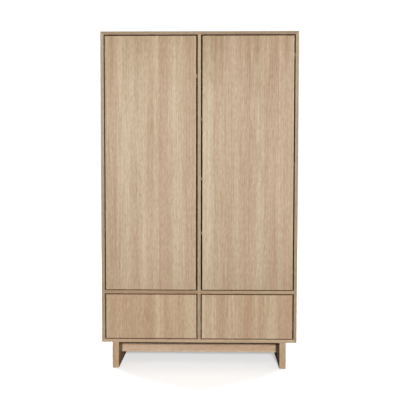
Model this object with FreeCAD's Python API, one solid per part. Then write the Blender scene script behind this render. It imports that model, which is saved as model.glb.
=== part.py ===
"""Two-door wardrobe on a low base, with two drawers under the doors.

Millimetres, +Z up. The origin is on the floor at the centre of the footprint, the front faces -Y and the
left-hand side, seen from the front, is -X. Doors and drawer fronts are inset between 18 mm boards, open by
a push, and show no handles. Every fitting that is let into a board makes its own hole: it adds a pocket to
POCKETS, and drilled() cuts the pockets that a board or plate touches.
"""

import FreeCAD, Part
import functools
import math
import os

Vec = FreeCAD.Vector
X, Y, Z = Vec(1, 0, 0), Vec(0, 1, 0), Vec(0, 0, 1)

# Driving dimensions of the case
WIDTH, DEPTH, HEIGHT = 1100.0, 550.0, 1890.0
BOARD = 18.0
LEG_HEIGHT = 150.0          # floor to the underside of the case
DRAWER_OPENING = 259.0      # clear height of the drawer compartments
OUTER_GAP = 6.0             # from a side board to a door or drawer front
DOOR_INNER_GAP = 7.5        # from the partition to a door
DRAWER_INNER_GAP = 5.0      # from the partition to a drawer front
LEVEL_GAP = 4.0             # above and below a drawer front, and below a door
TOP_GAP = 5.5               # above a door
EDGE_RADIUS = 0.8
PANEL_THIN = 3.0            # back panels
GROOVE_DEPTH = 6.0
GROOVE_ROOM = 0.1           # on each face of a panel in its groove
GROOVE_END_ROOM = 0.3       # past the panel's edge
BACK_SETBACK = 10.0         # rear edge to the back panel

# Base
LEG_THICK, LEG_INSET = 36.0, 60.0
RAIL_THICK, RAIL_HEIGHT, RAIL_SETBACK = 18.0, 95.0, 150.0
GLIDE_HEIGHT, GLIDE_RADIUS = 3.0, 11.0
LEG_BOLT_YS, RAIL_BOLT_XS, GLIDE_YS = (-200.0, 0.0, 200.0), (-300.0, 0.0, 300.0), (-240.0, 0.0, 240.0)

# Shelves and clothes rail
SHELF_SETBACK = 35.0
HAT_SHELF_Z = 1640.0        # undersides of the loose shelves
RIGHT_SHELF_Z = {"lower": 757.0, "middle": 1066.0, "upper": 1400.0}
PIN_PITCH, PIN_HOLES_EACH_WAY = 32.0, 2
PIN_FROM_FRONT, PIN_FROM_BACK = 55.0, 45.0
CLOTHES_RAIL_Z = 1560.0
TUBE_HALF_WIDTH, TUBE_HALF_HEIGHT, TUBE_WALL = 7.5, 15.0, 1.2

# Cup hinge, in u from the side board's inner face, v from the front plane and w up from the hinge's middle
HINGE_FROM_END = 100.0
PIVOT_U, PIVOT_V = 15.0, 9.5
CUP_RADIUS, CUP_DEPTH, CUP_WALL, CUP_FROM_EDGE = 17.5, 12.5, 1.0, 3.0
FLANGE_THICK, PLATE_THICK = 1.2, 2.5
ARM_WEB_TOP, ARM_WEB_THICK = 12.0, 2.0      # u of the arm's top face over its mounting plate
PIN_RADIUS, PIN_LENGTH, RUNNING_CLEARANCE = 1.5, 18.0, 0.05

# Drawers and their three-part runners
BOX_BOARD, BOX_HEIGHT, BOX_DEPTH, BOX_LIFT = 12.0, 170.0, 450.0, 12.0
BOTTOM_THICK, BOTTOM_LIFT = 6.0, 10.0
RUNNER_WIDTH, RUNNER_HALF_HEIGHT, RUNNER_SHEET, RUNNER_PLAY = 12.4, 22.5, 1.2, 0.6
RUNNER_Z = 240.0

# Push latch
PLUNGER_RADIUS, PLUNGER_LENGTH, LATCH_LENGTH = 4.0, 50.0, 60.0
LATCH_FROM_PARTITION, DOOR_LATCH_AXIS, DRAWER_LATCH_AXIS = 22.0, 14.0, 22.0
STRIKE_THICK = 1.2
TOUCH_GAP = 0.5             # plunger tip to what it pushes

SNUG = 0.05                 # radial room round a fitting in its hole
SLIDING_ROOM = 0.2          # radial room round a plunger
PAST = 1.0                  # how far a cutting shape stands past a face
TINY = 0.001                # places closer than this are the same

# Planes that follow from those
FRONT, REAR = -DEPTH / 2, DEPTH / 2
OUTER = WIDTH / 2
INNER = OUTER - BOARD
CASE_BOTTOM = LEG_HEIGHT
FLOOR_TOP = CASE_BOTTOM + BOARD
TOP_UNDER = HEIGHT - BOARD
SHELF_UNDER = FLOOR_TOP + DRAWER_OPENING
SHELF_TOP = SHELF_UNDER + BOARD
HALF_BOARD = BOARD / 2
BACK_FACE = REAR - BACK_SETBACK - PANEL_THIN     # front face of the back panels
DOOR_LEFT, DOOR_RIGHT = -INNER + OUTER_GAP, -HALF_BOARD - DOOR_INNER_GAP
DOOR_LOW, DOOR_HIGH = SHELF_TOP + LEVEL_GAP, TOP_UNDER - TOP_GAP
DOOR_BACK = FRONT + BOARD
BOX_LOW = FLOOR_TOP + BOX_LIFT
BOX_LEFT, BOX_RIGHT = -INNER + RUNNER_WIDTH, -HALF_BOARD - RUNNER_WIDTH
BOX_REAR = DOOR_BACK + BOX_DEPTH
HINGE_ZS = [DOOR_LOW + HINGE_FROM_END, (DOOR_LOW + DOOR_HIGH) / 2, DOOR_HIGH - HINGE_FROM_END]
PIVOT = Vec(-INNER + PIVOT_U, FRONT + PIVOT_V, 0)
LATCH_X = -HALF_BOARD - LATCH_FROM_PARTITION           # the left door's latches and strikes
COMPARTMENT_WALLS = [(-INNER, 1), (-HALF_BOARD, -1)]   # left bay: where u starts, and which way it runs
CAM_YS = (-170.0, 170.0)
DOWEL_YS = (-240.0, 0.0, 215.0)
BISCUIT_YS = (-210.0, -70.0, 70.0, 210.0)
RUNNER_SCREW_YS = (-215.0, -60.0, 120.0)

POCKETS = []


# ---------------------------------------------------------------- shape helpers

def box(x0, x1, y0, y1, z0, z1):
    """Box between two values on each axis, given in either order."""
    low = Vec(min(x0, x1), min(y0, y1), min(z0, z1))
    return Part.makeBox(abs(x1 - x0), abs(y1 - y0), abs(z1 - z0), low)


def joined(shapes):
    """One solid from overlapping shapes."""
    return shapes[0].fuse(shapes[1:]).removeSplitter()


def mirrored(shapes):
    """The right-hand copies of left-hand shapes."""
    return [s.mirror(Vec(0, 0, 0), X) for s in shapes]


def placed(shape, at, towards):
    """A copy of a shape drawn along +Z from the origin, set at a point and turned towards a direction."""
    copy = shape.copy()
    copy.Placement = FreeCAD.Placement(at, FreeCAD.Rotation(Z, towards))
    return copy


def rod(at, towards, radius, length):
    return Part.makeCylinder(radius, length, at, towards)


def prism_y(points, y0, y1):
    """Straight-sided outline in X and Z, extruded along Y."""
    corners = [Vec(x, y0, z) for x, z in points]
    return Part.Face(Part.makePolygon(corners + corners[:1])).extrude(Vec(0, y1 - y0, 0))


def stadium(x0, x1, y, z, half_width, half_height):
    """Bar along X whose section has flat sides and round ends above and below."""
    flat = half_height - half_width
    ends = [rod(Vec(x0, y, z + s * flat), X, half_width, x1 - x0) for s in (-1, 1)]
    return joined([box(x0, x1, y - half_width, y + half_width, z - flat, z + flat)] + ends)


def eased(shape, radius=EDGE_RADIUS, wanted=lambda edge: True):
    """The shape with the wanted edges rounded."""
    return shape.makeFillet(radius, [e for e in shape.Edges if wanted(e)])


def is_front_edge(edge):
    """A long edge in the front plane, so not the short edge of a mitre."""
    in_plane = all(abs(v.Point.y - FRONT) < TINY for v in edge.Vertexes)
    return in_plane and edge.Length > 4 * BOARD


def drilled(shape):
    """The shape with every pocket that reaches it cut away."""
    tools = [p for p in POCKETS if p.BoundBox.intersect(shape.BoundBox)]
    return shape.cut(tools) if tools else shape


def write(node, shapes):
    shape = shapes[0] if len(shapes) == 1 else Part.makeCompound(shapes)
    shape.exportStep(os.path.join("parts", node + ".step"))


# ---------------------------------------------------------------- fasteners

@functools.lru_cache(maxsize=None)
def screw_pattern(shaft_radius, length, head_radius, head_height):
    """Screw along +Z from the underside of its head, with a cross recess in the head."""
    head = rod(Vec(0, 0, 0), -Z, head_radius, head_height)
    head = eased(head, head_height * 0.3, lambda e: abs(e.BoundBox.ZMin + head_height) < TINY)
    arm, half_slot = head_radius * 0.6, head_radius * 0.14
    recess_mouth, recess_floor = -head_height - PAST, -head_height * 0.4
    cross = [box(-arm, arm, -half_slot, half_slot, recess_mouth, recess_floor),
             box(-half_slot, half_slot, -arm, arm, recess_mouth, recess_floor)]
    point_length, tip_radius = shaft_radius * 2, shaft_radius * 0.2
    shaft_length = length - point_length
    point = Part.makeCone(shaft_radius, tip_radius, point_length, Vec(0, 0, shaft_length), Z)
    shaft = rod(Vec(0, 0, 0), Z, shaft_radius, shaft_length)
    return joined([head.cut(cross), shaft, point])


def screw(at, into, shaft_radius=1.75, length=14.0, head_radius=3.4, head_height=1.6):
    """Screw whose head stands on the surface at a point."""
    POCKETS.append(rod(at, into, shaft_radius + SNUG, length + SNUG))
    return placed(screw_pattern(shaft_radius, length, head_radius, head_height), at, into)


def sunk_screw(at, into, shaft_radius, length, head_radius, head_height):
    """Screw whose head lies flush in the surface at a point."""
    POCKETS.append(rod(at, into, head_radius + SNUG, head_height))
    return screw(at + into * head_height, into, shaft_radius, length, head_radius, head_height)


def dowel(face_point, into_board, depth_in_face=8.0, depth_in_edge=20.0):
    """Wooden dowel across a joint, from a board's face into another board's edge."""
    radius, rounding = 4.0, 0.8
    start = face_point - into_board * depth_in_face
    length = depth_in_face + depth_in_edge
    POCKETS.append(rod(start - into_board * SNUG, into_board, radius + SNUG, length + 2 * SNUG))
    return eased(rod(start, into_board, radius, length), rounding)


def cam_joint(face_point, into_board, cam_axis, depth_in_face=8.0, reach=30.0):
    """Cam lock in a board's face and the bolt that it pulls. Returns (cam, bolt).

    face_point is on the other board's face, into_board leads from there to the cam's centre, and
    cam_axis leads from the middle of the board out of the face that the cam sits in.
    """
    cam_radius, cam_height, bolt_radius, channel_room = 7.5, 12.0, 3.0, 0.2
    slot_half_length, slot_half_width, slot_depth = 4.0, 0.7, 1.5
    centre = face_point + into_board * reach
    mouth = centre + cam_axis * HALF_BOARD
    cam = rod(mouth, -cam_axis, cam_radius, cam_height)
    slot = placed(box(-slot_half_length, slot_half_length, -slot_half_width, slot_half_width,
                      -PAST, slot_depth), mouth, -cam_axis)
    channel = rod(centre, -into_board, bolt_radius + channel_room, reach)
    start = face_point - into_board * depth_in_face
    length = depth_in_face + reach
    bolt = rod(start, into_board, bolt_radius, length)
    POCKETS.append(rod(mouth, -cam_axis, cam_radius + SNUG, cam_height + SNUG))
    POCKETS.append(rod(start - into_board * SNUG, into_board, bolt_radius + SNUG, length))
    return cam.cut([slot, channel, bolt]), bolt


# ---------------------------------------------------------------- case

def make_case_fittings():
    """Dowels, cam fittings and corner biscuits that hold the case together."""
    dowels, cams, bolts = [], [], []
    middle_z = (SHELF_UNDER + SHELF_TOP) / 2
    joints = [(Vec(s * u, 0, middle_z), X * (-s * way), -Z)
              for s in (-1, 1) for u, way in ((INNER, 1), (HALF_BOARD, -1))]
    joints += [(Vec(0, 0, FLOOR_TOP), Z, X), (Vec(0, 0, TOP_UNDER), -Z, X)]
    for point, into_board, cam_axis in joints:
        dowels += [dowel(point + Y * y, into_board) for y in DOWEL_YS]
        for y in CAM_YS:
            cam, bolt = cam_joint(point + Y * y, into_board, cam_axis)
            cams.append(cam)
            bolts.append(bolt)
    return dowels, cams, bolts


def make_biscuits():
    """Flat beech biscuits across the four mitres, nearer the inner corner, where the boards are deep."""
    length, half_width, half_thick, from_inner = 47.0, 8.0, 2.0, 5.5
    biscuits = []
    for side in (-1, 1):
        for z, up in ((TOP_UNDER, 1), (FLOOR_TOP, -1)):
            middle = Vec(side * (INNER + from_inner), 0, z + up * from_inner)
            for y in BISCUIT_YS:
                place = FreeCAD.Placement(middle + Y * y, FreeCAD.Rotation(Y, side * up * 45.0))
                for room, kept_in in ((0.0, biscuits), (SNUG, POCKETS)):
                    thick, reach_y, reach_z = half_thick + room, length / 2 + room, half_width + room
                    plate = eased(box(-thick, thick, -reach_y, reach_y, -reach_z, reach_z), half_width * 0.9,
                                  lambda e: abs(e.Length - 2 * thick) < TINY)
                    plate.Placement = place
                    kept_in.append(plate)
    return biscuits


def make_case_boards():
    """The mitred outer boards, the partition, the fixed shelves and the back panels."""
    groove = box(-INNER - GROOVE_DEPTH, INNER + GROOVE_DEPTH,
                 BACK_FACE - GROOVE_ROOM, BACK_FACE + PANEL_THIN + GROOVE_ROOM,
                 FLOOR_TOP - GROOVE_DEPTH, TOP_UNDER + GROOVE_DEPTH)
    side = [(-OUTER, CASE_BOTTOM), (-OUTER, HEIGHT), (-INNER, TOP_UNDER), (-INNER, FLOOR_TOP)]
    top = [(-OUTER, HEIGHT), (OUTER, HEIGHT), (INNER, TOP_UNDER), (-INNER, TOP_UNDER)]
    bottom = [(-OUTER, CASE_BOTTOM), (OUTER, CASE_BOTTOM), (INNER, FLOOR_TOP), (-INNER, FLOOR_TOP)]

    def outer_board(outline):
        return drilled(eased(prism_y(outline, FRONT, REAR), wanted=is_front_edge).cut(groove))

    def inner_board(*corners):
        return drilled(eased(box(*corners), wanted=is_front_edge))

    half_joint = 0.5            # half the room between the two back panels
    inner_rear = BACK_FACE - half_joint
    panel_edge = GROOVE_DEPTH - GROOVE_END_ROOM
    write("left_side_panel", [outer_board(side)])
    write("right_side_panel", [outer_board([(-x, z) for x, z in side])])
    write("top_panel", [outer_board(top)])
    write("bottom_panel", [outer_board(bottom)])
    write("centre_partition", [inner_board(-HALF_BOARD, HALF_BOARD, FRONT, inner_rear, FLOOR_TOP, TOP_UNDER)])
    for name, s in (("left", -1), ("right", 1)):
        write(name + "_fixed_shelf",
              [inner_board(s * INNER, s * HALF_BOARD, FRONT, inner_rear, SHELF_UNDER, SHELF_TOP)])
        write(name + "_back_panel",
              [drilled(box(s * (INNER + panel_edge), s * half_joint, BACK_FACE, BACK_FACE + PANEL_THIN,
                           FLOOR_TOP - panel_edge, TOP_UNDER + panel_edge))])


# ---------------------------------------------------------------- base

def make_base():
    """Two plank legs, two rails set back between them, their fixings and the floor glides."""
    leg_out, leg_in = OUTER - LEG_INSET, OUTER - LEG_INSET - LEG_THICK
    leg_middle = (leg_out + leg_in) / 2
    nail_radius, nail_length, dowel_from_edge = 1.25, 14.0, 25.0
    rail_ys = {"front": FRONT + RAIL_SETBACK, "rear": REAR - RAIL_SETBACK - RAIL_THICK}
    bolt_spots = [(s * leg_middle, y) for s in (-1, 1) for y in LEG_BOLT_YS]
    bolt_spots += [(x, y + RAIL_THICK / 2) for x in RAIL_BOLT_XS for y in rail_ys.values()]
    bolts = [sunk_screw(Vec(x, y, FLOOR_TOP), -Z, shaft_radius=3.5, length=60.0, head_radius=5.0,
                        head_height=3.0) for x, y in bolt_spots]
    glide_spots = [(s * leg_middle, y) for s in (-1, 1) for y in GLIDE_YS]
    dowels = []
    for y in rail_ys.values():
        for s in (-1, 1):
            for z in (CASE_BOTTOM - dowel_from_edge, CASE_BOTTOM - RAIL_HEIGHT + dowel_from_edge):
                dowels.append(dowel(Vec(s * leg_in, y + RAIL_THICK / 2, z), X * -s, depth_in_face=15.0))
    glides = []
    for x, y in glide_spots:
        nail = rod(Vec(x, y, GLIDE_HEIGHT), Z, nail_radius, nail_length)
        POCKETS.append(rod(Vec(x, y, GLIDE_HEIGHT), Z, nail_radius + SNUG, nail_length + SNUG))
        disc = rod(Vec(x, y, 0), Z, GLIDE_RADIUS, GLIDE_HEIGHT)
        glides.append(joined([eased(disc, wanted=lambda e: e.BoundBox.ZMax < TINY), nail]))
    left_leg = eased(box(-leg_out, -leg_in, FRONT, REAR, GLIDE_HEIGHT, CASE_BOTTOM))
    write("left_leg", [drilled(left_leg)])
    write("right_leg", [drilled(*mirrored([left_leg]))])
    for name, y in rail_ys.items():
        rail = box(-leg_in, leg_in, y, y + RAIL_THICK, CASE_BOTTOM - RAIL_HEIGHT, CASE_BOTTOM)
        rail = eased(rail, wanted=lambda e: e.Length > LEG_HEIGHT and e.BoundBox.ZMax < CASE_BOTTOM - PAST)
        write(name + "_rail", [drilled(rail)])
    write("base_bolts", bolts)
    write("floor_glides", glides)
    return dowels


# ---------------------------------------------------------------- shelves and clothes rail

def make_shelves():
    """Loose shelves on spoon pins, with a short row of spare holes above and below each pin."""
    reach_in, spoon_length, spoon_half_width, spoon_thick, peg_radius = 7.5, 9.0, 6.0, 1.5, 2.45
    spoon_from_wall, peg_drop, end_room, back_room = 0.5, 2.5, 1.0, 2.0
    bays = {"left_top_shelf": (-1, HAT_SHELF_Z)}
    bays.update({"right_" + k + "_shelf": (1, z) for k, z in RIGHT_SHELF_Z.items()})
    pins = []
    for node, (side, under) in bays.items():
        for wall, way in COMPARTMENT_WALLS:
            face_x, inward = -side * wall, -side * way
            for y in (FRONT + PIN_FROM_FRONT, BACK_FACE - PIN_FROM_BACK):
                hole_z = under - peg_drop
                peg = rod(Vec(face_x - inward * reach_in, y, hole_z), X * inward, peg_radius,
                          reach_in + spoon_length)
                spoon = box(face_x + inward * spoon_from_wall, face_x + inward * spoon_length,
                            y - spoon_half_width, y + spoon_half_width, under - spoon_thick, under)
                above = box(face_x - 2 * spoon_length, face_x + 2 * spoon_length,
                            y - spoon_length, y + spoon_length, under, under + spoon_length)
                pins.append(joined([peg, spoon]).cut(above))
                for k in range(-PIN_HOLES_EACH_WAY, PIN_HOLES_EACH_WAY + 1):
                    POCKETS.append(rod(Vec(face_x - inward * (reach_in + SNUG), y, hole_z + k * PIN_PITCH),
                                       X * inward, peg_radius + SNUG, reach_in + SNUG))
        shelf = box(side * (INNER - end_room), side * (HALF_BOARD + end_room),
                    FRONT + SHELF_SETBACK, BACK_FACE - back_room, under, under + BOARD)
        write(node, [eased(shelf)])
    write("shelf_pins", pins)


def make_clothes_rail():
    """Oval tube in the left bay, in a socket at each end. Returns the sockets' screws."""
    y, z, socket_base, socket_depth = 0.0, CLOTHES_RAIL_Z, 2.5, 12.0
    fit, wall, plate_extra, screw_from_tube = 0.1, 2.2, 16.0, 9.0
    x0, x1 = -INNER + socket_base, -HALF_BOARD - socket_base
    tube = stadium(x0, x1, y, z, TUBE_HALF_WIDTH, TUBE_HALF_HEIGHT)
    bore = stadium(x0 - PAST, x1 + PAST, y, z, TUBE_HALF_WIDTH - TUBE_WALL, TUBE_HALF_HEIGHT - TUBE_WALL)
    sockets, screws = [], []
    for wall_x, way in COMPARTMENT_WALLS:
        ends = sorted((wall_x, wall_x + way * socket_base))
        plate = stadium(*ends, y, z, TUBE_HALF_WIDTH + wall, TUBE_HALF_HEIGHT + plate_extra)
        ends = sorted((wall_x, wall_x + way * socket_depth))
        ring = stadium(*ends, y, z, TUBE_HALF_WIDTH + wall, TUBE_HALF_HEIGHT + wall)
        ends = sorted((wall_x + way * socket_base, wall_x + way * (socket_depth + PAST)))
        seat = stadium(*ends, y, z, TUBE_HALF_WIDTH + fit, TUBE_HALF_HEIGHT + fit)
        for screw_z in (z - TUBE_HALF_HEIGHT - screw_from_tube, z + TUBE_HALF_HEIGHT + screw_from_tube):
            screws.append(screw(Vec(wall_x + way * socket_base, y, screw_z), X * -way, head_radius=3.2))
        sockets.append(drilled(joined([plate, ring]).cut(seat)))
    write("clothes_rail", [tube.cut(bore)])
    write("rail_sockets", sockets)
    return screws


# ---------------------------------------------------------------- hinges and doors

def hinge_box(u0, u1, v0, v1, w0, w1):
    """Box in a left-hand hinge's own u, v and w, at height zero."""
    return box(-INNER + u0, -INNER + u1, FRONT + v0, FRONT + v1, w0, w1)


def make_hinge_arm():
    """Cranked arm: a channel on the mounting plate, and a neck that hooks into the cup round the pin."""
    neck_half, sheet, eye_radius, eye_half, bend_radius = 5.0, 2.4, 3.0, 6.5, 1.1
    crank_u, crank_v, channel_end_v, channel_half = 30.7, 26.5, 80.0, 8.0
    web_low = ARM_WEB_TOP - ARM_WEB_THICK
    flange_low, flange_start_v, flange_inside = 4.0, 30.0, 6.4
    low, high = PIVOT_V - sheet / 2, PIVOT_V + sheet / 2
    neck = [hinge_box(PIVOT_U, crank_u, low, high, -neck_half, neck_half),
            hinge_box(crank_u - sheet, crank_u, low, crank_v, -neck_half, neck_half),
            hinge_box(web_low, crank_u, crank_v - sheet, crank_v, -neck_half, neck_half)]
    channel = [hinge_box(web_low, ARM_WEB_TOP, crank_v - sheet, channel_end_v, -channel_half, channel_half)]
    for s in (-1, 1):
        channel.append(hinge_box(flange_low, ARM_WEB_TOP, flange_start_v, channel_end_v,
                                 s * flange_inside, s * channel_half))
    eye = rod(PIVOT - Z * eye_half, Z, eye_radius, 2 * eye_half)
    arm = joined(neck + channel + [eye])
    neck_x = -INNER + PIVOT_U + eye_radius
    arm = eased(arm, bend_radius,
                lambda e: abs(e.Length - 2 * neck_half) < TINY and e.BoundBox.XMin > neck_x)
    return arm.cut(rod(PIVOT - Z * PIN_LENGTH / 2, Z, PIN_RADIUS + RUNNING_CLEARANCE, PIN_LENGTH))


def make_hinge_plate():
    """Cross-shaped mounting plate with a raised rail under the arm."""
    wing_start_v, wing_end_v, wing_half, wing_rounding = 45.0, 65.0, 24.0, 6.0
    spine_start_v, spine_end_v, spine_half = 33.0, 78.0, 9.0
    rail_start_v, rail_end_v, rail_half = 34.0, 77.0, 6.0
    wings = hinge_box(0, PLATE_THICK, wing_start_v, wing_end_v, -wing_half, wing_half)
    wings = eased(wings, wing_rounding, lambda e: abs(e.Length - PLATE_THICK) < TINY)
    spine = hinge_box(0, PLATE_THICK, spine_start_v, spine_end_v, -spine_half, spine_half)
    under_web = ARM_WEB_TOP - ARM_WEB_THICK
    rail = hinge_box(PLATE_THICK, under_web, rail_start_v, rail_end_v, -rail_half, rail_half)
    return joined([wings, spine, rail])


def cup_centre():
    return Vec(DOOR_LEFT + CUP_FROM_EDGE + CUP_RADIUS, DOOR_BACK, 0)


def make_hinge_cup():
    """Pressed cup with a flange on the door's back and two ears that hold the pin."""
    centre, flange_ring = cup_centre(), 2.0
    wing_start, wing_end, wing_half, wing_rounding = 2.0, 17.0, 31.0, 6.0
    ear_near, ear_far, ear_front, ear_low, ear_high = 2.6, 4.0, 3.0, 7.0, 9.0
    shell = rod(centre, -Y, CUP_RADIUS, CUP_DEPTH)
    flange = rod(centre, Y, CUP_RADIUS + flange_ring, FLANGE_THICK)
    wings = box(centre.x + wing_start, centre.x + wing_end, DOOR_BACK, DOOR_BACK + FLANGE_THICK,
                -wing_half, wing_half)
    wings = eased(wings, wing_rounding, lambda e: abs(e.Length - FLANGE_THICK) < TINY)
    mouth = centre + Y * (FLANGE_THICK + PAST)
    hollow = rod(mouth, -Y, CUP_RADIUS - CUP_WALL, CUP_DEPTH - CUP_WALL + FLANGE_THICK + PAST)
    in_cup_floor = DOOR_BACK - CUP_DEPTH + CUP_WALL / 2
    ears = [box(PIVOT.x - ear_near, PIVOT.x + ear_far, in_cup_floor, PIVOT.y + ear_front,
                s * ear_low, s * ear_high) for s in (-1, 1)]
    return joined([joined([shell, flange, wings]).cut(hollow)] + ears)


def make_strikes():
    """Plates on the door's back that the latches touch. Returns them and their screws."""
    half_width, past_latch, to_screw, length, rounding = 7.0, 7.0, 18.0, 34.0, 5.0
    plates, screws = [], []
    for z, way in ((SHELF_TOP + DOOR_LATCH_AXIS, 1), (TOP_UNDER - DOOR_LATCH_AXIS, -1)):
        end = z - way * past_latch
        plate = box(LATCH_X - half_width, LATCH_X + half_width, DOOR_BACK, DOOR_BACK + STRIKE_THICK,
                    end, end + way * length)
        plates.append(eased(plate, rounding, lambda e: abs(e.Length - STRIKE_THICK) < TINY))
        screws.append(screw(Vec(LATCH_X, DOOR_BACK + STRIKE_THICK, z + way * to_screw), -Y, length=12.0))
    return plates, screws


def make_left_door():
    """Door, hinges and their screws, all drawn on the left, with the strike plates.

    Returns the arms, the plates, and the screws that stay on the case.
    """
    cups, pins, door_screws, arms, plates, case_screws = [], [], [], [], [], []
    cup_screw_across, cup_screw_up = 9.5, 24.0
    plate_screw_v, plate_screw_up, arm_screw_vs = 55.0, 16.0, (40.0, 68.0)
    arm, plate, cup = make_hinge_arm(), make_hinge_plate(), make_hinge_cup()
    pin = rod(PIVOT - Z * PIN_LENGTH / 2, Z, PIN_RADIUS, PIN_LENGTH)
    for z in HINGE_ZS:
        up = Z * z
        cups.append(cup.translated(up))
        pins.append(pin.translated(up))
        arms.append(arm.translated(up))
        plates.append(plate.translated(up))
        for s in (-1, 1):
            cup_screw_head = cup_centre() + up + Vec(cup_screw_across, FLANGE_THICK, s * cup_screw_up)
            door_screws.append(screw(cup_screw_head, -Y, length=12.0))
            plate_screw_head = Vec(-INNER + PLATE_THICK, FRONT + plate_screw_v, z + s * plate_screw_up)
            case_screws.append(screw(plate_screw_head, -X, shaft_radius=2.5, head_radius=3.8))
        for v in arm_screw_vs:
            arm_screw_head = Vec(-INNER + ARM_WEB_TOP, FRONT + v, z)
            case_screws.append(screw(arm_screw_head, -X, length=9.0, head_radius=3.0))
    strikes, strike_screws = make_strikes()
    pin_holes = [rod(p.BoundBox.Center - Z * PIN_LENGTH, Z, PIN_RADIUS, 2 * PIN_LENGTH) for p in pins]
    cups = [drilled(c).cut(pin_holes) for c in cups]
    # The cups have their screw holes now, so the round holes that they sit in can join the pockets.
    POCKETS.extend(rod(cup_centre() + Z * z, -Y, CUP_RADIUS, CUP_DEPTH) for z in HINGE_ZS)
    door = eased(box(DOOR_LEFT, DOOR_RIGHT, FRONT, DOOR_BACK, DOOR_LOW, DOOR_HIGH))
    pieces = {
        "door_panel": [drilled(door)],
        "hinge_cups": cups,
        "hinge_pins": pins,
        "strike_plates": [drilled(s) for s in strikes],
        "door_screws": door_screws + strike_screws,
    }
    return pieces, [drilled(a) for a in arms], [drilled(p) for p in plates], case_screws


# ---------------------------------------------------------------- push latches

def make_latch(x, y, z, up, axis_height):
    """Push latch on a face at height z. Returns its housing, where its plunger's axis starts, and screws."""
    half_width, ear_reach, ear_thick, roof, rounding, spring_room = 7.0, 17.0, 3.0, 8.0, 1.5, 5.0
    ear_start, ear_end, screw_from_axis = 22.0, 38.0, 12.5
    axis = Vec(x, y, z + up * axis_height)
    body = box(x - half_width, x + half_width, y, y + LATCH_LENGTH, z, z + up * (axis_height + roof))
    body = eased(body, rounding, lambda e: min(abs(e.BoundBox.ZMin - z), abs(e.BoundBox.ZMax - z)) > PAST)
    ears = box(x - ear_reach, x + ear_reach, y + ear_start, y + ear_end, z, z + up * ear_thick)
    bore = rod(axis - Y, Y, PLUNGER_RADIUS + SLIDING_ROOM, PLUNGER_LENGTH + spring_room)
    screws = [screw(Vec(x + s * screw_from_axis, y + (ear_start + ear_end) / 2, z + up * ear_thick), Z * -up,
                    head_radius=3.2) for s in (-1, 1)]
    return joined([body, ears]).cut(bore), axis, screws


def make_plunger(axis, tip_y):
    """Round plunger along Y, from its tip back into the housing."""
    shaft = rod(Vec(axis.x, tip_y, axis.z), Y, PLUNGER_RADIUS, PLUNGER_LENGTH)
    return eased(shaft, wanted=lambda e: e.BoundBox.YMax < tip_y + TINY)


def make_left_latches():
    """Latches of the left door and drawer. Returns (housings, door plungers, drawer plungers, screws)."""
    behind_door, behind_drawer = 7.0, 8.0
    housings, door_plungers, screws = [], [], []
    for z, up in ((SHELF_TOP, 1), (TOP_UNDER, -1)):
        housing, axis, own_screws = make_latch(LATCH_X, DOOR_BACK + behind_door, z, up, DOOR_LATCH_AXIS)
        housings.append(housing)
        door_plungers.append(make_plunger(axis, DOOR_BACK + STRIKE_THICK + TOUCH_GAP))
        screws += own_screws
    middle = (BOX_LEFT + BOX_RIGHT) / 2
    housing, axis, own_screws = make_latch(middle, BOX_REAR + behind_drawer, FLOOR_TOP, 1, DRAWER_LATCH_AXIS)
    drawer_plunger = make_plunger(axis, BOX_REAR + TOUCH_GAP)
    housings = [drilled(h) for h in housings + [housing]]
    return housings, door_plungers, [drawer_plunger], screws + own_screws


# ---------------------------------------------------------------- drawers

def channel(wall_x, way, web_u, far_u, half_height, web_first):
    """C-shaped runner member along a drawer, with its web at one end of its u range."""
    front_room = 2.0
    y0, y1 = DOOR_BACK + front_room, DOOR_BACK + BOX_DEPTH

    def part(u0, u1, z0, z1):
        return box(wall_x + way * u0, wall_x + way * u1, y0, y1, RUNNER_Z + z0, RUNNER_Z + z1)

    web_start = web_u if web_first else far_u - RUNNER_SHEET
    web = part(web_start, web_start + RUNNER_SHEET, -half_height, half_height)
    flanges = [part(web_u, far_u, s * (half_height - RUNNER_SHEET), s * half_height) for s in (-1, 1)]
    return joined([web] + flanges)


def make_left_runners():
    """Outer, middle and inner members of both runners of the left drawer, and the screws of each side."""
    outer, middle, inner, case_screws, box_screws = [], [], [], [], []
    step = RUNNER_SHEET + RUNNER_PLAY
    head_room, outer_far_u, middle_far_u = 1.8, 10.0, 11.0
    case_screw_length, box_screw_length = 9.5, 11.0     # under half the partition, and under a box board
    for wall_x, way in COMPARTMENT_WALLS:
        for y in RUNNER_SCREW_YS:
            web_face = wall_x + way * RUNNER_SHEET
            case_screws.append(screw(Vec(web_face, y, RUNNER_Z), X * -way, length=case_screw_length,
                                     head_radius=3.2, head_height=1.4))
            web_face = wall_x + way * (RUNNER_WIDTH - RUNNER_SHEET)
            box_screws.append(screw(Vec(web_face, y, RUNNER_Z), X * way, length=box_screw_length,
                                    head_radius=3.2, head_height=1.4))
        middle_u = RUNNER_SHEET + head_room
        inner_u = middle_u + step
        outer.append(channel(wall_x, way, 0.0, outer_far_u, RUNNER_HALF_HEIGHT, True))
        middle.append(channel(wall_x, way, middle_u, middle_far_u, RUNNER_HALF_HEIGHT - step, True))
        inner.append(channel(wall_x, way, inner_u, RUNNER_WIDTH, RUNNER_HALF_HEIGHT - 2 * step, False))
    return outer, middle, inner, case_screws, box_screws


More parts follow.
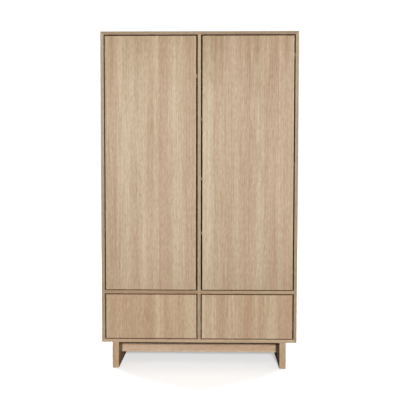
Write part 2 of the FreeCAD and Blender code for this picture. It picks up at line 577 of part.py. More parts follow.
def make_left_drawer(runner_screws):
    """Drawer box of two sides and two ends round a grooved-in bottom, with an applied front."""
    top = BOX_LOW + BOX_HEIGHT
    in_left, in_right = BOX_LEFT + BOX_BOARD, BOX_RIGHT - BOX_BOARD
    screws = list(runner_screws)
    screw_from_corner, screw_from_edge, above_bottom = 60.0, 30.0, 40.0
    for x in (in_left + screw_from_corner, in_right - screw_from_corner):
        for z in (BOX_LOW + above_bottom, top - screw_from_edge):
            screws.append(screw(Vec(x, DOOR_BACK + BOX_BOARD, z), -Y, shaft_radius=2.0, length=24.0,
                                head_radius=3.6, head_height=1.8))
    for x, way in ((BOX_LEFT, X), (BOX_RIGHT, -X)):
        for y in (DOOR_BACK + BOX_BOARD / 2, BOX_REAR - BOX_BOARD / 2):
            for z in (BOX_LOW + screw_from_edge, top - screw_from_edge):
                screws.append(sunk_screw(Vec(x, y, z), way, shaft_radius=2.0, length=32.0,
                                         head_radius=3.4, head_height=2.0))
    edge = GROOVE_DEPTH - GROOVE_END_ROOM
    floor_z = BOX_LOW + BOTTOM_LIFT
    groove = box(in_left - GROOVE_DEPTH, in_right + GROOVE_DEPTH,
                 DOOR_BACK + BOX_BOARD - GROOVE_DEPTH, BOX_REAR - BOX_BOARD + GROOVE_DEPTH,
                 floor_z - GROOVE_ROOM, floor_z + BOTTOM_THICK + GROOVE_ROOM)
    sides = [box(BOX_LEFT, in_left, DOOR_BACK, BOX_REAR, BOX_LOW, top),
             box(in_right, BOX_RIGHT, DOOR_BACK, BOX_REAR, BOX_LOW, top)]
    ends = [box(in_left, in_right, DOOR_BACK, DOOR_BACK + BOX_BOARD, BOX_LOW, top),
            box(in_left, in_right, BOX_REAR - BOX_BOARD, BOX_REAR, BOX_LOW, top)]
    bottom = box(in_left - edge, in_right + edge, DOOR_BACK + BOX_BOARD - edge, BOX_REAR - BOX_BOARD + edge,
                 floor_z, floor_z + BOTTOM_THICK)

    def long_top_edge(edge):
        return edge.BoundBox.ZMin > top - TINY and edge.Length > 4 * BOX_BOARD

    front = box(DOOR_LEFT, -HALF_BOARD - DRAWER_INNER_GAP, FRONT, DOOR_BACK,
                FLOOR_TOP + LEVEL_GAP, SHELF_UNDER - LEVEL_GAP)
    return {
        "drawer_front": [drilled(eased(front))],
        "drawer_sides": [drilled(eased(s, wanted=long_top_edge).cut(groove)) for s in sides],
        "drawer_ends": [drilled(eased(e, wanted=long_top_edge).cut(groove)) for e in ends],
        "drawer_bottom": [bottom],
        "drawer_screws": screws,
    }


# ---------------------------------------------------------------- wall anchors

def make_wall_brackets():
    """Angle brackets under the top, for screws through the back panel into a wall."""
    half_width, sheet, leg, hole_radius, x, hole_drop = 12.0, 2.0, 40.0, 3.0, 430.0, 24.0
    screw_from_back, hole_reach = 26.0, 5.0
    brackets, screws = [], []
    for s in (-1, 1):
        flat = box(s * x - half_width, s * x + half_width, BACK_FACE - leg, BACK_FACE,
                   TOP_UNDER - sheet, TOP_UNDER)
        upright = box(s * x - half_width, s * x + half_width, BACK_FACE - sheet, BACK_FACE,
                      TOP_UNDER - leg, TOP_UNDER)
        screws.append(screw(Vec(s * x, BACK_FACE - screw_from_back, TOP_UNDER - sheet), Z))
        POCKETS.append(rod(Vec(s * x, BACK_FACE - hole_reach, TOP_UNDER - hole_drop), Y, hole_radius,
                           2 * hole_reach))
        brackets.append(drilled(joined([flat, upright])))
    write("wall_brackets", brackets)
    return screws


def main():
    os.makedirs("parts", exist_ok=True)
    dowels, cams, cam_bolts = make_case_fittings()
    case_screws = make_clothes_rail() + make_wall_brackets()
    door, arms, plates, hinge_screws = make_left_door()
    housings, door_plungers, drawer_plungers, latch_screws = make_left_latches()
    outer, middle, inner, runner_screws, box_screws = make_left_runners()
    drawer = make_left_drawer(box_screws)
    left_screws = hinge_screws + latch_screws + runner_screws
    # The right-hand side is the mirror image, holes included.
    POCKETS.extend(mirrored([p for p in POCKETS if p.BoundBox.XMax < 0]))

    for side, flip in (("left_", list), ("right_", mirrored)):
        for name, shapes in {**door, **drawer}.items():
            write(side + name, flip(shapes))
        write(side + "door_plungers", flip(door_plungers))
        write(side + "drawer_plunger", flip(drawer_plungers))
        write(side + "middle_runners", flip([drilled(m) for m in middle]))
        write(side + "inner_runners", flip([drilled(i) for i in inner]))
    write("hinge_arms", arms + mirrored(arms))
    write("hinge_plates", plates + mirrored(plates))
    write("latch_housings", housings + mirrored(housings))
    write("outer_runners", [drilled(o) for o in outer] + mirrored([drilled(o) for o in outer]))
    write("carcass_screws", case_screws + left_screws + mirrored(left_screws))
    write("corner_biscuits", make_biscuits())
    make_shelves()
    dowels += make_base()
    make_case_boards()
    write("wood_dowels", dowels)
    write("cam_locks", cams)
    write("cam_bolts", cam_bolts)


main()
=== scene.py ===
import math

import bpy
from mathutils import Matrix, Vector


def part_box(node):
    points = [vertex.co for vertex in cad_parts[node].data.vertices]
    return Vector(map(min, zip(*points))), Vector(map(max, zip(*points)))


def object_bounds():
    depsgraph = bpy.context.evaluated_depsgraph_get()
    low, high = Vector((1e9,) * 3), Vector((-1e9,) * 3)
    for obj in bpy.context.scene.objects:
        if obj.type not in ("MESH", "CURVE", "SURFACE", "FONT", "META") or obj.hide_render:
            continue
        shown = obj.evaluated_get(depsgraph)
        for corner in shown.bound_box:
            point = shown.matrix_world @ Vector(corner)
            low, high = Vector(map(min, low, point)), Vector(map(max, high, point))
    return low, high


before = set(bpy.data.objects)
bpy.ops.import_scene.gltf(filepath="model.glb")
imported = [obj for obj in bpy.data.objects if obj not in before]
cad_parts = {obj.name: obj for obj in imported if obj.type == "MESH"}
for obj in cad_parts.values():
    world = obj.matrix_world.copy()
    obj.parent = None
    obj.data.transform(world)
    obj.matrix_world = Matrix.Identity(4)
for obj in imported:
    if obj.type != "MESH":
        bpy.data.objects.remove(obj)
cad_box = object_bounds()

# Metres, in the row frame: +Z up, the doors face -Y, +X to the right
LOW, HIGH = (Vector(corner) for corner in cad_box)
FRONT, BACK = LOW.y, HIGH.y
HEIGHT = HIGH.z
X, Y, Z = "XYZ"

# ---------------------------------------------------------------- camera, lamps and floor: values

# How far the camera stands in front of the doors, to the right of their middle, and above the floor
CAMERA_AWAY, CAMERA_ACROSS, CAMERA_UP = 3.794, 0.082, 1.142
# Its turn to the left, its tilt down, and its roll
CAMERA_YAW, CAMERA_PITCH, CAMERA_ROLL = math.radians(1.17), math.radians(2.805), math.radians(0.07)
LENS_MM, SENSOR_MM = 61.15, 36.0

# Square lamps: place, side and watts
LAMPS = {
    "key": ((0.9, FRONT - 8.0, 2.84), 0.6, 670.0),
    "right": ((2.2, FRONT - 1.6, 3.2), 1.0, 7.0),
    "left": ((-2.8, FRONT - 2.2, 1.8), 1.6, 8.0),
    "back_left": ((-2.8, BACK + 1.825, 3.0), 1.6, 150.0),
    "back_right": ((2.8, BACK + 1.825, 3.0), 1.6, 150.0),
}
LAMPS_AIM = (0.0, FRONT, HEIGHT * 0.6)

# The white surroundings: strength as a light, and where the camera sees them
WORLD_LIT, WORLD_SEEN = 0.17, 1.05
# The floor: half its side, and its grey as a reflector and where the camera sees it
FLOOR_HALF = 20.0
FLOOR_LIT, FLOOR_SEEN = 0.13, 0.80
# The floor's own glow: low up to the near distance from the wardrobe's middle, full beyond the far one
GLOW_NEAR, GLOW_FAR = 1.0, 3.5
GLOW_LOW, GLOW_FULL = 0.48, 1.0

# ---------------------------------------------------------------- wood: values

# Linear colours of the oak's cream and pinkish bands
OAK_LIGHT, OAK_DARK = (0.530, 0.427, 0.294), (0.438, 0.297, 0.198)
# Powers of a shade's factor in red, green and blue, which make a darker line browner too
SHADE_POWERS = (1.0, 1.25, 1.65)

# Layers of the oak's figure. Noise: features per metre across and along the grain, octaves of detail, and
# roughness. Then the noise levels between which the layer works, and its values there.
OAK_LAYERS = {
    "wander": ((3.0, 1.1, 1.0, 0.5), (0.2, 0.8), (-1.0, 1.0)),
    "bands": ((17.0, 0.40, 3.0, 0.55), (0.36, 0.64), (0.0, 1.0)),
    "smoke": ((16.0, 1.2, 2.0, 0.5), (0.38, 0.60), (0.0, 1.0)),
    "growth": ((8.0, 1.0, 1.0, 0.5), (0.40, 0.62), (0.0, 1.0)),
    "patches": ((11.0, 0.9, 2.0, 0.5), (0.35, 0.65), (0.95, 1.04)),
    "streaks": ((120.0, 1.1, 4.0, 0.6), (0.3, 0.7), (0.90, 1.10)),
    "flecks": ((170.0, 40.0, 2.0, 0.6), (0.3, 0.7), (0.89, 1.08)),
    "fibres": ((620.0, 11.0, 2.0, 0.5), (0.3, 0.7), (0.92, 1.07)),
    "pores": ((1150.0, 26.0, 1.0, 0.4), (0.60, 0.68), (0.0, 1.0)),
}
# Growth lines follow the level curves of a noise field: its features per metre, detail and roughness, how
# many lines its whole range has, and how a line fades out over the space between two lines
GROWTH_FIELD = ((7.0, 7.0, 0.30), 2.0, 0.35)
GROWTH_LINES = 46.0
GROWTH_FADE = (0.25, 0.05)
# How much a growth line and a pore darken the wood, and how deep the pores are in metres
GROWTH_DARKNESS, PORE_DARKNESS = 0.09, 0.22
PORE_DEPTH = 0.00006
# Roughness of the darkest and the lightest streaks
OAK_ROUGHNESS = (0.58, 0.48)
# Chosen bands: their share of the banding, and how far they wander sideways
CHOSEN_SHARE, CHOSEN_WANDER = 0.65, 0.006
# Painted light: doors palest half-way up, as if lit most there: the factor there, and how much lower at top
# and bottom
DOOR_PAINTED_LIGHT_MIDDLE, DOOR_PAINTED_LIGHT_FALL = 1.045, 0.085
# Browner patches at the top of a door: how far down they reach
TOP_PATCH_HEIGHT = 0.50
# Painted gap shade round a front, in place of the shade in the gaps: its thickness, the shares of it where
# the darkened edge turns into the dark line and the line into the face, and the colour multipliers of both
GAP_SHADE_THICK = 0.0020
GAP_SHADE_EDGE_TO_LINE, GAP_SHADE_LINE_TO_FACE = (0.05, 0.15), (0.7, 1.0)
GAP_SHADE_EDGE_TINT, GAP_SHADE_LINE_TINT = (0.45, 0.34, 0.22), (0.26, 0.14, 0.05)

# Linear colours of birch plywood's faces and edges and of beech, each darker and lighter
BIRCH_FACE = (0.62, 0.47, 0.31), (0.70, 0.56, 0.39)
BIRCH_PLIES = (0.30, 0.19, 0.11), (0.60, 0.45, 0.29)
BEECH = (0.50, 0.32, 0.19), (0.60, 0.41, 0.25)
PLY_THICK = 0.00134
# Darkest and lightest flecks, as factors
BIRCH_FLECKS, BEECH_FLECKS = (0.95, 1.04), (0.9, 1.05)

# Bands across a door or drawer front, from its left edge: share of the width, and 0 dark to 1 light
LEFT_DOOR_BANDS = ((0.00, 0.50), (0.10, 0.35), (0.22, 0.75), (0.30, 0.80), (0.36, 0.55), (0.42, 0.70),
                   (0.50, 0.40), (0.56, 0.80), (0.585, 0.80), (0.595, 0.22), (0.66, 0.35), (0.76, 0.88),
                   (0.82, 0.75), (0.90, 0.30), (1.00, 0.45))
RIGHT_DOOR_BANDS = ((0.00, 0.85), (0.08, 0.92), (0.14, 0.35), (0.20, 0.70), (0.29, 0.35), (0.36, 0.58),
                    (0.45, 0.03), (0.52, 0.08), (0.57, 0.62), (0.63, 1.00), (0.70, 0.50), (0.775, 0.03),
                    (0.82, 0.12), (0.84, 0.82), (0.91, 0.12), (1.00, 0.50))
LEFT_DRAWER_BANDS = ((0.00, 0.65), (0.10, 0.25), (0.30, 0.32), (0.40, 0.45), (0.50, 0.25), (0.56, 0.92),
                     (0.585, 0.92), (0.595, 0.50), (0.67, 0.25), (0.76, 0.70), (0.83, 0.20), (0.94, 0.80),
                     (1.00, 0.60))
RIGHT_DRAWER_BANDS = ((0.00, 0.85), (0.08, 0.48), (0.155, 0.90), (0.165, 0.00), (0.22, 0.00), (0.35, 0.75),
                      (0.45, 0.40), (0.49, 0.00), (0.53, 0.00), (0.62, 0.68), (0.635, 0.05), (0.76, 0.80),
                      (0.82, 0.65), (0.83, 0.00), (1.00, 0.12))

# ---------------------------------------------------------------- metal and plastic: values

# Metals: darker and lighter colour, roughness, marks per metre along x, y and z, and their height
METALS = {
    "zinc_plated_steel": ((0.36, 0.37, 0.39), (0.52, 0.53, 0.56), 0.34, (300.0, 40.0, 300.0), 0.00001),
    "nickel_plated_steel": ((0.20, 0.19, 0.17), (0.32, 0.30, 0.27), 0.45, (250.0, 250.0, 60.0), 0.00001),
    "chromed_tube": ((0.42, 0.42, 0.43), (0.52, 0.52, 0.52), 0.22, (20.0, 500.0, 500.0), 0.000002),
    "cast_zinc": ((0.30, 0.30, 0.31), (0.45, 0.45, 0.46), 0.50, (700.0, 700.0, 700.0), 0.00003),
}
# Plastics: darker and lighter colour, and roughness
PLASTICS = {
    "grey_plastic": ((0.11, 0.105, 0.10), (0.14, 0.135, 0.13), 0.5),
    "black_plastic": ((0.018, 0.018, 0.018), (0.03, 0.03, 0.03), 0.5),
    "brown_plastic": ((0.12, 0.085, 0.06), (0.16, 0.12, 0.085), 0.55),
}


# ---------------------------------------------------------------- node helpers

def node(tree, kind, inputs=None, **settings):
    """Adds a shader node, sets its options, and fills inputs with values or with other nodes' outputs."""
    made = tree.nodes.new("ShaderNode" + kind)
    for name, value in settings.items():
        setattr(made, name, value)
    for key, value in (inputs or {}).items():
        if isinstance(value, bpy.types.NodeSocket):
            tree.links.new(value, made.inputs[key])
        else:
            made.inputs[key].default_value = value
    return made


def maths(tree, operation, a, b=0.0, c=0.0):
    """One sum: MULTIPLY_ADD is a * b + c."""
    return node(tree, "Math", {0: a, 1: b, 2: c}, operation=operation).outputs[0]


def vectors(tree, operation, a, b):
    """One sum on all three of a place's coordinates or a colour's levels."""
    return node(tree, "VectorMath", {0: a, 1: b}, operation=operation).outputs[0]


def scaled(tree, colour, factor):
    """The colour times one factor."""
    return node(tree, "VectorMath", {0: colour, "Scale": factor}, operation="SCALE").outputs[0]


def remap(tree, value, low, high, to_low=0.0, to_high=1.0):
    """Value from low..high to to_low..to_high, held at the ends."""
    inputs = {"Value": value, "From Min": low, "From Max": high, "To Min": to_low, "To Max": to_high}
    return node(tree, "MapRange", inputs, clamp=True).outputs[0]


def mixed(tree, factor, a, b):
    """From colour a to colour b as the factor goes from 0 to 1. A colour may be a node's output too."""
    a, b = (colour + (1.0,) if isinstance(colour, tuple) else colour for colour in (a, b))
    return node(tree, "Mix", {"Factor": factor, "A": a, "B": b}, data_type="RGBA").outputs["Result"]


def curve_through(tree, value, stops):
    """A smooth curve through (position, level) stops."""
    made = node(tree, "ValToRGB", {"Fac": value})
    ramp = made.color_ramp
    ramp.interpolation = "EASE"
    for element, (position, level) in zip(ramp.elements, (stops[0], stops[-1])):
        element.position = position
        element.color = (level, level, level, 1.0)
    for position, level in stops[1:-1]:
        ramp.elements.new(position).color = (level, level, level, 1.0)
    return made.outputs[0]


def stretched_noise(tree, place, scale, detail=2.0, roughness=0.5):
    """Noise with its own number of features per metre along each axis."""
    inputs = {"Vector": vectors(tree, "MULTIPLY", place, scale), "Scale": 1.0, "Detail": detail,
              "Roughness": roughness}
    return node(tree, "TexNoise", inputs).outputs[0]


def even_noise(tree, place, per_metre, detail=2.0, roughness=0.5):
    """Noise with the same number of features per metre along every axis, from 0 to 1."""
    return remap(tree, stretched_noise(tree, place, (per_metre,) * 3, detail, roughness), 0.3, 0.7)


def object_place(tree):
    """The place on the piece, in metres."""
    return node(tree, "TexCoord").outputs["Object"]


def split(tree, vector):
    """The x, y and z of a vector, by name."""
    return node(tree, "SeparateXYZ", {0: vector}).outputs


def facing(tree):
    """The x, y and z of the direction in which the surface faces."""
    return split(tree, node(tree, "TexCoord").outputs["Normal"])


def new_material(name, **shader_values):
    """A material with one shader, whose constant values sit on its own sockets."""
    material = bpy.data.materials.new(name)
    material.use_nodes = True
    tree = material.node_tree
    shader = tree.nodes["Principled BSDF"]
    for key, value in shader_values.items():
        shader.inputs[key.replace("_", " ")].default_value = value
    return material, tree, shader


def finish_shader(tree, shader, colour, roughness, height, bump_m):
    """Links colour, roughness and a bump of the height times bump_m into the shader."""
    bump = node(tree, "Bump", {"Height": height, "Distance": bump_m, "Strength": 1.0})
    tree.links.new(colour, shader.inputs["Base Color"])
    tree.links.new(roughness, shader.inputs["Roughness"])
    tree.links.new(bump.outputs[0], shader.inputs["Normal"])


# ---------------------------------------------------------------- oak

def warm(level, warmth=0.0):
    """Multipliers for red, green and blue: a level, made browner by a share of the green."""
    return (level, level * (1.0 - warmth), level * (1.0 - 2.0 * warmth))


def grain_place(tree, grain, end_grain, seed):
    """Place on a board as (across, through, along the grain), in metres, moved by the seed.

    On the board's ends the edge strip's grain runs along end_grain instead.
    """
    place = split(tree, object_place(tree))

    def ordered(along):
        first, second = (axis for axis in (X, Y, Z) if axis != along)
        return node(tree, "CombineXYZ", {0: place[first], 1: place[second], 2: place[along]}).outputs[0]

    is_end = maths(tree, "GREATER_THAN", maths(tree, "ABSOLUTE", facing(tree)[grain]), 0.7)
    inputs = {"Factor": is_end, "A": ordered(grain), "B": ordered(end_grain)}
    chosen = node(tree, "Mix", inputs, data_type="VECTOR").outputs["Result"]
    return vectors(tree, "ADD", chosen, (seed * 3.1, seed * 1.7, seed * 5.3))


def oak_layer(tree, place, name):
    """One layer of OAK_LAYERS."""
    (across, along, detail, roughness), (low, high), (to_low, to_high) = OAK_LAYERS[name]
    noise = stretched_noise(tree, place, (across, across, along), detail, roughness)
    return remap(tree, noise, low, high, to_low, to_high)


def growth_lines(tree, place):
    """Factor below 1 on growth lines: level curves of a stretched field, clearer in some places."""
    field = stretched_noise(tree, place, *GROWTH_FIELD)
    line = maths(tree, "PINGPONG", maths(tree, "MULTIPLY", field, GROWTH_LINES), 0.5)
    depth = maths(tree, "MULTIPLY", oak_layer(tree, place, "growth"), -GROWTH_DARKNESS)
    return maths(tree, "MULTIPLY_ADD", depth, remap(tree, line, *GROWTH_FADE), 1.0)


def chosen_bands(tree, place, natural, bands, box):
    """The level of bands chosen across the box, mixed with a natural level."""
    low, high = box
    across = split(tree, object_place(tree))[X]
    wandering = maths(tree, "MULTIPLY_ADD", oak_layer(tree, place, "wander"), CHOSEN_WANDER, across)
    chosen = curve_through(tree, remap(tree, wandering, low.x, high.x), bands)
    chosen_part = maths(tree, "MULTIPLY", chosen, CHOSEN_SHARE)
    return maths(tree, "MULTIPLY_ADD", natural, 1.0 - CHOSEN_SHARE, chosen_part)


def door_painted_light_and_patches(tree, place, box, smoke):
    """Painted light: a factor that is highest half-way up a door, as if lit most there, with darker, browner
    patches below its top.
    """
    low, high = box
    up = split(tree, object_place(tree))[Z]
    from_middle = maths(tree, "ABSOLUTE", remap(tree, up, low.z, high.z, -1.0, 1.0))
    middle = maths(tree, "MULTIPLY_ADD", maths(tree, "POWER", from_middle, 3.0), -DOOR_PAINTED_LIGHT_FALL, DOOR_PAINTED_LIGHT_MIDDLE)
    near_top = maths(tree, "POWER", remap(tree, up, high.z - TOP_PATCH_HEIGHT, high.z), 1.5)
    patches = maths(tree, "MULTIPLY", oak_layer(tree, place, "smoke"), near_top)
    return maths(tree, "MULTIPLY", middle, maths(tree, "MULTIPLY_ADD", patches, -smoke, 1.0))


def shaded(tree, colour, factor):
    """The colour, made darker and browner, or lighter and paler, by a factor about 1."""
    powers = [maths(tree, "POWER", factor, power) for power in SHADE_POWERS]
    shades = node(tree, "CombineXYZ", dict(enumerate(powers))).outputs[0]
    return vectors(tree, "MULTIPLY", colour, shades)


def painted_gap_shade(tree, colour, box):
    """The colour with painted gap shade: the front's edges darkened, and a thin dark brown line round its
    face, as the shade in the gaps round it.
    """
    low, high = box
    place = split(tree, object_place(tree))
    from_edges = [maths(tree, "SUBTRACT", place[X], low.x), maths(tree, "SUBTRACT", high.x, place[X]),
                  maths(tree, "SUBTRACT", place[Z], low.z), maths(tree, "SUBTRACT", high.z, place[Z])]
    inwards = from_edges[0]
    for distance in from_edges[1:]:
        inwards = maths(tree, "MINIMUM", inwards, distance)
    to_line, to_face = (remap(tree, inwards, *(share * GAP_SHADE_THICK for share in shares))
                        for shares in (GAP_SHADE_EDGE_TO_LINE, GAP_SHADE_LINE_TO_FACE))
    edge_shade = mixed(tree, to_line, GAP_SHADE_EDGE_TINT, GAP_SHADE_LINE_TINT)
    return vectors(tree, "MULTIPLY", colour, mixed(tree, to_face, edge_shade, (1.0, 1.0, 1.0)))


def oak(name, grain, end_grain, seed, tone=warm(1.0), edge_tone=None, bands=None, box=None, smoke=None):
    """Matt oak veneer: soft bands along the grain, growth lines, streaks, fibres and open pores.

    edge_tone is for a board's front edge, which has an edge strip of its own; like tone, it is partly painted
    light and shade, set board by board. box is the board's lowest and highest corners, round whose front
    painted gap shade darkens the edges. bands gives the pinkish and cream bands across the box, as (share of
    the width, level).
    smoke is how dark the patches at a door's top are; a door that has it also gets painted light, palest
    half-way up.
    """
    material, tree, shader = new_material(name, IOR=1.45, Specular_IOR_Level=0.15)
    place = grain_place(tree, grain, end_grain, seed)
    band = oak_layer(tree, place, "bands")
    if bands:
        band = chosen_bands(tree, place, band, bands, box)

    streaks = oak_layer(tree, place, "streaks")
    fibres = oak_layer(tree, place, "fibres")
    pores = oak_layer(tree, place, "pores")
    factor = maths(tree, "MULTIPLY_ADD", pores, -PORE_DARKNESS, 1.0)
    layers = [growth_lines(tree, place), streaks, oak_layer(tree, place, "flecks"), fibres,
              oak_layer(tree, place, "patches")]
    # Painted light on a door: palest half-way up and darker towards top and bottom, with darker, browner
    # patches near its top.
    if smoke:
        layers.append(door_painted_light_and_patches(tree, place, box, smoke))
    for layer in layers:
        factor = maths(tree, "MULTIPLY", layer, factor)
    colour = shaded(tree, mixed(tree, band, OAK_DARK, OAK_LIGHT), factor)

    # Board and front-edge tones, set board by board: partly the boards' own tone, partly painted light and
    # shade.
    if edge_tone:
        on_edge = remap(tree, facing(tree)[Y], -0.8, -0.6, 1.0, 0.0)
        tone = mixed(tree, on_edge, tone, edge_tone)
    colour = vectors(tree, "MULTIPLY", colour, tone)
    # Painted gap shade: the front's edges darkened, and a thin dark brown line round its face.
    if box:
        colour = painted_gap_shade(tree, colour, box)
    streak_range = OAK_LAYERS["streaks"][2]
    roughness = remap(tree, streaks, *streak_range, *OAK_ROUGHNESS)
    height = maths(tree, "MULTIPLY_ADD", pores, -1.0, maths(tree, "MULTIPLY", fibres, 0.6))
    finish_shader(tree, shader, colour, roughness, height, PORE_DEPTH)
    return material


def front_oak(node_name, bands, **settings):
    """Oak with chosen bands across one door or drawer front."""
    return oak(node_name + "_oak", Z, X, bands=bands, box=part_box(node_name), **settings)


# ---------------------------------------------------------------- other wood

def birch_ply(name, grain, through):
    """Drawer-box plywood: pale rotary-cut faces, and stacked plies on the upper and lower edges."""
    material, tree, shader = new_material(name, IOR=1.45, Specular_IOR_Level=0.4)
    place = grain_place(tree, grain, grain, 4.0)
    cloud = remap(tree, stretched_noise(tree, place, (9.0, 9.0, 1.6), 3.0, 0.55), 0.3, 0.7)
    fleck = remap(tree, stretched_noise(tree, place, (420.0, 420.0, 30.0)), 0.3, 0.7, *BIRCH_FLECKS)
    stack = maths(tree, "PINGPONG", split(tree, object_place(tree))[through], PLY_THICK)
    ply = remap(tree, stack, PLY_THICK * 0.42, PLY_THICK * 0.58)
    on_edge = maths(tree, "GREATER_THAN", maths(tree, "ABSOLUTE", facing(tree)[Z]), 0.7)
    plain = mixed(tree, on_edge, mixed(tree, cloud, *BIRCH_FACE), mixed(tree, ply, *BIRCH_PLIES))
    roughness = remap(tree, fleck, *BIRCH_FLECKS, 0.5, 0.4)
    finish_shader(tree, shader, scaled(tree, plain, fleck), roughness, fleck, 0.00003)
    return material


def plain_beech(name):
    """Dowels and biscuits."""
    material, tree, shader = new_material(name, Specular_IOR_Level=0.3)
    place = grain_place(tree, Y, X, 9.0)
    tint = even_noise(tree, place, 60.0, 3.0)
    fleck = remap(tree, stretched_noise(tree, place, (900.0, 900.0, 300.0)), 0.3, 0.7, *BEECH_FLECKS)
    colour = scaled(tree, mixed(tree, tint, *BEECH), fleck)
    finish_shader(tree, shader, colour, remap(tree, fleck, *BEECH_FLECKS, 0.7, 0.55), fleck, 0.0001)
    return material


# ---------------------------------------------------------------- metal and plastic

def metal(name):
    """One of METALS: cloudy plating or casting, with fine drawing lines or grains."""
    dark, light, roughness, marks, bump_m = METALS[name]
    material, tree, shader = new_material(name, Metallic=1.0)
    place = object_place(tree)
    cloud = even_noise(tree, place, 70.0, 4.0, 0.6)
    fine = remap(tree, stretched_noise(tree, place, marks, 2.0, 0.6), 0.3, 0.7)
    level = maths(tree, "MULTIPLY_ADD", cloud, 0.6, maths(tree, "MULTIPLY", fine, 0.4))
    spread = remap(tree, level, 0.0, 1.0, roughness * 1.25, roughness * 0.8)
    finish_shader(tree, shader, mixed(tree, level, dark, light), spread, fine, bump_m)
    return material


def plastic(name):
    """One of PLASTICS: moulded, with a fine spark-eroded texture."""
    dark, light, roughness = PLASTICS[name]
    material, tree, shader = new_material(name, IOR=1.49)
    place = object_place(tree)
    texture = even_noise(tree, place, 1400.0, 2.0, 0.6)
    flow = even_noise(tree, place, 35.0)
    spread = remap(tree, texture, 0.0, 1.0, roughness * 1.1, roughness * 0.9)
    finish_shader(tree, shader, mixed(tree, flow, dark, light), spread, texture, 0.00002)
    return material


# ---------------------------------------------------------------- what each CAD node is made of

def board_materials():
    """Oak for the boards that have a material of their own, by node name; their tones are partly painted
    light and shade.
    """
    return {
        "left_side_panel": oak("left_side_oak", Z, Y, seed=1.0, edge_tone=warm(0.84, -0.075)),
        "right_side_panel": oak("right_side_oak", Z, Y, seed=2.0, edge_tone=warm(0.74)),
        "top_panel": oak("top_oak", X, Y, seed=3.0, edge_tone=warm(0.62, 0.05)),
        "bottom_panel": oak("bottom_oak", X, Y, seed=4.0, edge_tone=warm(1.10)),
        "centre_partition": oak("partition_oak", Z, Y, seed=6.0, edge_tone=warm(0.83)),
        "left_fixed_shelf": oak("left_shelf_oak", X, Y, seed=5.0, edge_tone=warm(0.765, 0.105)),
        "right_fixed_shelf": oak("right_shelf_oak", X, Y, seed=7.0, edge_tone=warm(0.89, 0.035)),
        "left_leg": oak("left_leg_oak", Y, Z, seed=11.0, tone=warm(0.95, 0.09)),
        "right_leg": oak("right_leg_oak", Y, Z, seed=12.0, tone=warm(0.895, 0.07)),
        # Painted light: the front rail's tone makes it lighter, against the shade it stands in under the
        # case.
        "front_rail": oak("front_rail_oak", X, Y, seed=13.0, tone=warm(1.32, -0.03)),
        "rear_rail": oak("rear_rail_oak", X, Y, seed=14.0),
        "left_door_panel": front_oak("left_door_panel", LEFT_DOOR_BANDS, seed=15.0, smoke=0.16),
        "right_door_panel": front_oak("right_door_panel", RIGHT_DOOR_BANDS, seed=16.0,
                                      tone=warm(0.965), smoke=0.26),
        "left_drawer_front": front_oak("left_drawer_front", LEFT_DRAWER_BANDS, seed=17.0,
                                       tone=warm(1.05, 0.025)),
        "right_drawer_front": front_oak("right_drawer_front", RIGHT_DRAWER_BANDS, seed=18.0,
                                        tone=warm(1.02, 0.02)),
    }


def other_materials():
    """Every other material, with the names of its nodes. SIDE stands for left and right."""
    steel_fittings = ["carcass_screws", "base_bolts", "cam_bolts", "wall_brackets", "outer_runners",
                      "SIDE_door_screws", "SIDE_drawer_screws", "SIDE_strike_plates", "SIDE_middle_runners",
                      "SIDE_inner_runners"]
    nickel_fittings = ["hinge_arms", "hinge_plates", "shelf_pins", "SIDE_hinge_cups", "SIDE_hinge_pins"]
    loose_shelves = ["left_top_shelf", "right_lower_shelf", "right_middle_shelf", "right_upper_shelf"]
    return [
        (oak("loose_shelf_oak", X, Y, seed=5.0, tone=warm(0.97)), loose_shelves),
        (oak("back_panel_oak", Z, X, seed=8.0, tone=warm(0.92)), ["SIDE_back_panel", "SIDE_drawer_bottom"]),
        (birch_ply("birch_side_ply", Y, X), ["SIDE_drawer_sides"]),
        (birch_ply("birch_end_ply", X, Y), ["SIDE_drawer_ends"]),
        (plain_beech("plain_beech"), ["wood_dowels", "corner_biscuits"]),
        (metal("zinc_plated_steel"), steel_fittings),
        (metal("nickel_plated_steel"), nickel_fittings),
        (metal("chromed_tube"), ["clothes_rail", "rail_sockets"]),
        (metal("cast_zinc"), ["cam_locks"]),
        (plastic("grey_plastic"), ["latch_housings"]),
        (plastic("black_plastic"), ["SIDE_door_plungers", "SIDE_drawer_plunger"]),
        (plastic("brown_plastic"), ["floor_glides"]),
    ]


def dress_cad_nodes():
    """Gives every CAD node its one material."""
    chosen = board_materials()
    for material, names in other_materials():
        for name in names:
            for side in ("left", "right"):
                chosen[name.replace("SIDE", side)] = material
    for name, cad_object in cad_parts.items():
        for material_slot in cad_object.material_slots:
            material_slot.material = chosen[name]


# ---------------------------------------------------------------- studio

def make_camera():
    """The scene's camera, turned by yaw, then pitch, then roll."""
    yaw, pitch, roll = CAMERA_YAW, CAMERA_PITCH, CAMERA_ROLL
    forward = Vector((-math.sin(yaw) * math.cos(pitch), math.cos(yaw) * math.cos(pitch), -math.sin(pitch)))
    level_right = Vector((math.cos(yaw), math.sin(yaw), 0.0))
    level_up = level_right.cross(forward)
    right = level_right * math.cos(roll) + level_up * math.sin(roll)
    up = level_up * math.cos(roll) - level_right * math.sin(roll)
    turn = Matrix((right, up, -forward)).transposed().to_4x4()
    place = Matrix.Translation((CAMERA_ACROSS, FRONT - CAMERA_AWAY, CAMERA_UP))
    data = bpy.data.cameras.new("camera")
    data.sensor_width = SENSOR_MM
    data.lens = LENS_MM
    camera = bpy.data.objects.new("camera", data)
    camera.matrix_world = place @ turn
    bpy.context.scene.collection.objects.link(camera)
    bpy.context.scene.camera = camera


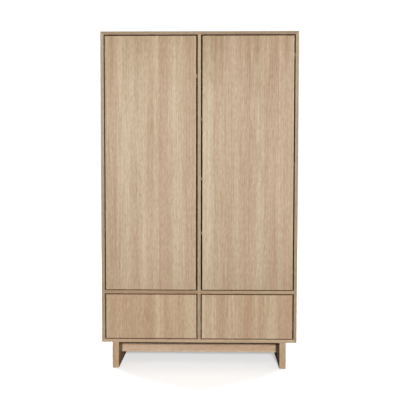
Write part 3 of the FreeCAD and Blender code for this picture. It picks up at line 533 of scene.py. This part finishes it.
def make_world():
    """White all round: full white where the camera sees it, softer as a light."""
    world = bpy.data.worlds.new("studio")
    world.use_nodes = True
    tree = world.node_tree
    lighting = tree.nodes["Background"]
    lighting.inputs["Color"].default_value = (1.0, 1.0, 1.0, 1.0)
    lighting.inputs["Strength"].default_value = WORLD_LIT
    seen = node(tree, "Background", {"Color": (1.0, 1.0, 1.0, 1.0), "Strength": WORLD_SEEN})
    inputs = {0: node(tree, "LightPath").outputs["Is Camera Ray"], 1: lighting.outputs[0], 2: seen.outputs[0]}
    both = node(tree, "MixShader", inputs)
    tree.links.new(both.outputs[0], tree.nodes["World Output"].inputs["Surface"])
    bpy.context.scene.world = world


def make_floor():
    """Pale floor, much wider than the view.

    It glows a little, more so far from the wardrobe, so that the shadows stay soft and light and the floor
    meets the white background without a line.
    """
    half = FLOOR_HALF
    mesh = bpy.data.meshes.new("floor")
    corners = [(-half, -half, 0.0), (half, -half, 0.0), (half, half, 0.0), (-half, half, 0.0)]
    mesh.from_pydata(corners, [], [(0, 1, 2, 3)])
    floor = bpy.data.objects.new("floor", mesh)
    bpy.context.scene.collection.objects.link(floor)
    material, tree, shader = new_material("floor_paint", Roughness=0.9, Specular_IOR_Level=0.0,
                                          Emission_Color=(1.0, 1.0, 1.0, 1.0))
    away = node(tree, "VectorMath", {0: object_place(tree)}, operation="LENGTH").outputs["Value"]
    glow = remap(tree, away, GLOW_NEAR, GLOW_FAR, GLOW_LOW, GLOW_FULL)
    seen = node(tree, "LightPath").outputs["Is Camera Ray"]
    grey = mixed(tree, seen, (FLOOR_LIT,) * 3, (FLOOR_SEEN,) * 3)
    tree.links.new(grey, shader.inputs["Base Color"])
    tree.links.new(maths(tree, "MULTIPLY", seen, glow), shader.inputs["Emission Strength"])
    mesh.materials.append(material)


def make_lamp(name, place, side, watts):
    """A square lamp, aimed at the wardrobe."""
    data = bpy.data.lights.new(name, "AREA")
    data.shape = "SQUARE"
    data.size = side
    data.energy = watts
    lamp = bpy.data.objects.new(name, data)
    lamp.location = place
    lamp.rotation_euler = (Vector(LAMPS_AIM) - Vector(place)).to_track_quat("-Z", "Y").to_euler()
    bpy.context.scene.collection.objects.link(lamp)


make_camera()
make_world()
make_floor()
for lamp_name, lamp_values in LAMPS.items():
    make_lamp(lamp_name, *lamp_values)
bpy.context.scene.view_settings.view_transform = "Standard"
dress_cad_nodes()
